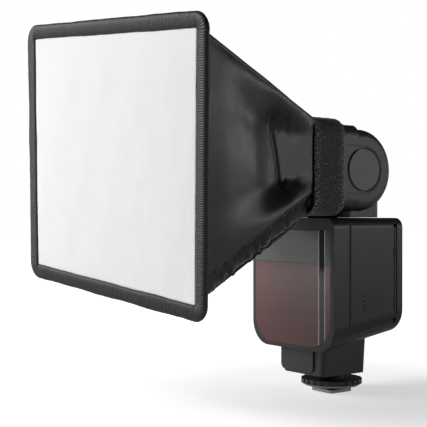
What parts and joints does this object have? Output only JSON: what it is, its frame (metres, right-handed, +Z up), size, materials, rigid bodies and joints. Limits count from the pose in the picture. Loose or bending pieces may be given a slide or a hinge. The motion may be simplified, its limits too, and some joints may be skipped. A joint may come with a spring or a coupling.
{
  "type": "speedlight flash with softbox",
  "caption": "Tall hot-shoe flash with a tilting, turning head, a battery door and rear controls, wearing a small fabric softbox strapped round its head.",
  "frame": {"origin": "middle of the bottom face of the shoe plate", "axes": "+Z up out of the camera's shoe, -Y the way the light leaves with the head straight, +X towards the battery door"},
  "size_m": [0.183, 0.2016, 0.2251],
  "materials": {
    "case_plastic": "fine grained dark grey moulded plastic",
    "grey_panel": "smooth grey",
    "red_window": "dark red translucent",
    "dark_steel": "blackened steel",
    "foot_metal": "satin",
    "bright_steel": "plated",
    "inner_plastic": "plain black",
    "cell_can": "plain printed sleeve on a steel can",
    "capacitor_sleeve": "dark plastic sleeve",
    "board_green": "green circuit board",
    "transformer_tape": "taped winding",
    "sensor_black": "epoxy",
    "screen_pane": "clear pane",
    "lamp_lens": "red lens",
    "contact_brass": "bright",
    "ring_plastic": "knurled",
    "key_rubber": "soft",
    "gloss_black": "gloss",
    "cap_plastic": "satin grey",
    "lens_clear": "ribbed clear plastic",
    "reflector_metal": "mirror bright",
    "tube_glass": "clear",
    "holder_rubber": "white silicone",
    "card_white": "white",
    "black_cloth": "black woven nylon",
    "silver_cloth": "silver coated",
    "white_cloth": "white translucent nylon",
    "binding_tape": "ribbed black tape",
    "strap_webbing": "woven black webbing"
  },
  "bodies": {
    "housing": {"front_cover": "case_plastic", "rear_cover": "case_plastic", "front_panel": "grey_panel", "sensor_window": "red_window", "cover_screws": "dark_steel", "foot_block": "case_plastic", "foot_stem": "foot_metal", "shoe_plate": "foot_metal", "foot_screws": "bright_steel", "battery_tray": "inner_plastic", "battery_cells": "cell_can", "cell_springs": "bright_steel", "main_capacitor": "capacitor_sleeve", "main_board": "board_green", "step_up_transformer": "transformer_tape", "sensor_board": "board_green", "slave_sensor": "sensor_black", "control_board": "board_green", "screen_module": "inner_plastic", "screen_glass": "screen_pane", "ready_lamp": "lamp_lens", "sync_socket": "bright_steel", "power_socket": "inner_plastic"},
    "shoe_contact": {"contact_plunger": "contact_brass"},
    "clamp": {"clamp_plate": "foot_metal", "locking_pin": "bright_steel"},
    "ring": {"lock_ring": "ring_plastic"},
    "door_carrier": {"door_rail": "inner_plastic", "door_hinge_pin": "bright_steel"},
    "door": {"battery_door": "case_plastic", "door_contacts": "bright_steel"},
    "mode_key": {"mode_button": "key_rubber"},
    "light_key": {"light_button": "key_rubber"},
    "minus_key": {"minus_button": "key_rubber"},
    "plus_key": {"plus_button": "key_rubber"},
    "dial": {"control_dial": "gloss_black"},
    "set_key": {"set_button": "gloss_black"},
    "test_key": {"test_button": "key_rubber"},
    "power_knob": {"power_switch": "gloss_black"},
    "flap": {"port_flap": "key_rubber"},
    "neck": {"neck_yoke": "case_plastic", "swivel_retainer": "dark_steel"},
    "head": {"head_upper_shell": "case_plastic", "head_lower_shell": "case_plastic", "head_screws": "dark_steel", "tilt_shaft": "bright_steel", "hinge_caps": "cap_plastic", "front_bezel": "gloss_black", "fresnel_lens": "lens_clear", "reflector": "reflector_metal", "flash_tube": "tube_glass", "tube_holders": "holder_rubber"},
    "card": {"bounce_card": "card_white"},
    "wide": {"wide_panel": "lens_clear"},
    "softbox": {"softbox_shell": "black_cloth", "softbox_lining": "silver_cloth", "softbox_diffuser": "white_cloth", "softbox_binding": "binding_tape", "frame_wire": "dark_steel", "softbox_strap": "strap_webbing"}
  },
  "joints": [
    {"name": "ring_turn", "type": "hinge", "parent": "clamp", "child": "ring", "pos_m": [0, 0, 0.0053], "axis": [0, 0, 1], "range_deg": [0, 432]},
    {"name": "clamp_slide", "type": "slide", "parent": "housing", "child": "clamp", "axis": [0, 0, -1], "range_m": [0, 0.0012]},
    {"name": "contact_press", "type": "slide", "parent": "housing", "child": "shoe_contact", "axis": [0, 0, 1], "range_m": [0, 0.0004], "stiffness_N_per_m": 300},
    {"name": "door_slide", "type": "slide", "parent": "housing", "child": "door_carrier", "axis": [0, 0, -1], "range_m": [0, 0.004]},
    {"name": "door_swing", "type": "hinge", "parent": "door_carrier", "child": "door", "pos_m": [0.0369, 0.0182, 0.0704], "axis": [0, 0, 1], "range_deg": [0, 100]},
    {"name": "mode_press", "type": "slide", "parent": "housing", "child": "mode_key", "axis": [0, -1, 0], "range_m": [0, 0.0006], "stiffness_N_per_m": 600},
    {"name": "light_press", "type": "slide", "parent": "housing", "child": "light_key", "axis": [0, -1, 0], "range_m": [0, 0.0006], "stiffness_N_per_m": 600},
    {"name": "minus_press", "type": "slide", "parent": "housing", "child": "minus_key", "axis": [0, -1, 0], "range_m": [0, 0.0006], "stiffness_N_per_m": 600},
    {"name": "plus_press", "type": "slide", "parent": "housing", "child": "plus_key", "axis": [0, -1, 0], "range_m": [0, 0.0006], "stiffness_N_per_m": 600},
    {"name": "dial_turn", "type": "hinge", "parent": "housing", "child": "dial", "pos_m": [0, 0.023, 0.0534], "axis": [0, 1, 0], "continuous": true},
    {"name": "set_press", "type": "slide", "parent": "housing", "child": "set_key", "axis": [0, -1, 0], "range_m": [0, 0.0006], "stiffness_N_per_m": 600},
    {"name": "test_press", "type": "slide", "parent": "housing", "child": "test_key", "axis": [0, -1, 0], "range_m": [0, 0.0006], "stiffness_N_per_m": 600},
    {"name": "power_slide", "type": "slide", "parent": "housing", "child": "power_knob", "axis": [0, 0, 1], "range_m": [0, 0.004]},
    {"name": "flap_swing", "type": "hinge", "parent": "housing", "child": "flap", "pos_m": [-0.038, 0.0078, 0.0754], "axis": [0, 0, -1], "range_deg": [0, 90]},
    {"name": "neck_swivel", "type": "hinge", "parent": "housing", "child": "neck", "pos_m": [0, -0.0076, 0.11], "axis": [0, 0, 1], "range_deg": [-180, 90]},
    {"name": "head_tilt", "type": "hinge", "parent": "neck", "child": "head", "pos_m": [0, -0.0076, 0.1392], "axis": [-1, 0, 0], "range_deg": [0, 90]},
    {"name": "card_pull", "type": "slide", "parent": "head", "child": "card", "axis": [0, -1, 0], "range_m": [0, 0.04]},
    {"name": "panel_pull", "type": "slide", "parent": "head", "child": "wide", "axis": [0, -1, 0], "range_m": [0, 0.042]},
    {"name": "softbox_pull", "type": "slide", "parent": "head", "child": "softbox", "axis": [0, -1, 0], "range_m": [0, 0.075]}
  ],
  "couplings": [
    {"joint": "clamp_slide", "follows": "ring_turn", "m_per_rad": 0.00015915}
  ]
}
